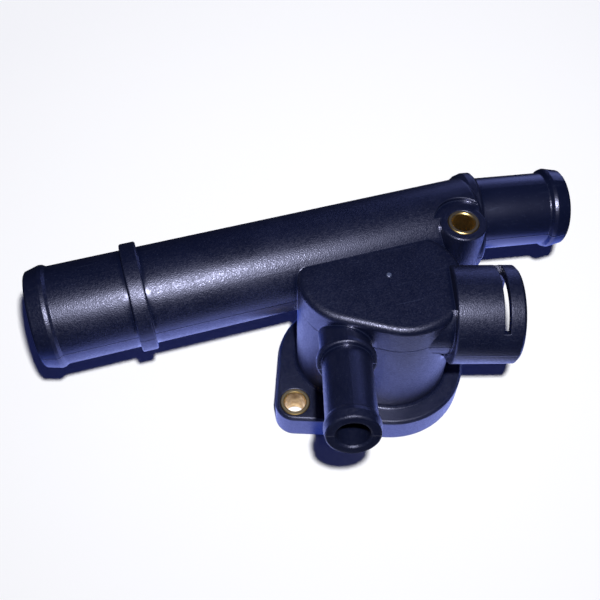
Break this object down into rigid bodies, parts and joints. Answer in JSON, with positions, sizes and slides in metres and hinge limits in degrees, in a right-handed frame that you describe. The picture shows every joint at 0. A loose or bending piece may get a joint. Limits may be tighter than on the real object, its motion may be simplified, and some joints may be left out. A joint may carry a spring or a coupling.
{
  "type": "coolant connector",
  "caption": "Black moulded coolant connector: a screw-on flange and chamber with a long hose pipe across it, a side hose tail and a plug socket with clip slots.",
  "frame": {"origin": "midway between the two screw axes, on the sealing face of the flange", "axes": "+Z is the flange's normal, away from the engine; +X runs along the main pipe towards its bent end; the side tail and the socket point to -Y"},
  "size_m": [0.1848, 0.0918, 0.0643],
  "materials": {
    "glass_filled_nylon": "satin moulded black nylon with glass fibre",
    "turned_brass": "turned and pressed brass, lightly dulled",
    "moulded_rubber": "smooth moulded rubber"
  },
  "bodies": {
    "root": {"housing": "glass_filled_nylon", "ear_sleeve": "turned_brass", "pillar_sleeve": "turned_brass", "flange_seal": "moulded_rubber"}
  },
  "joints": []
}
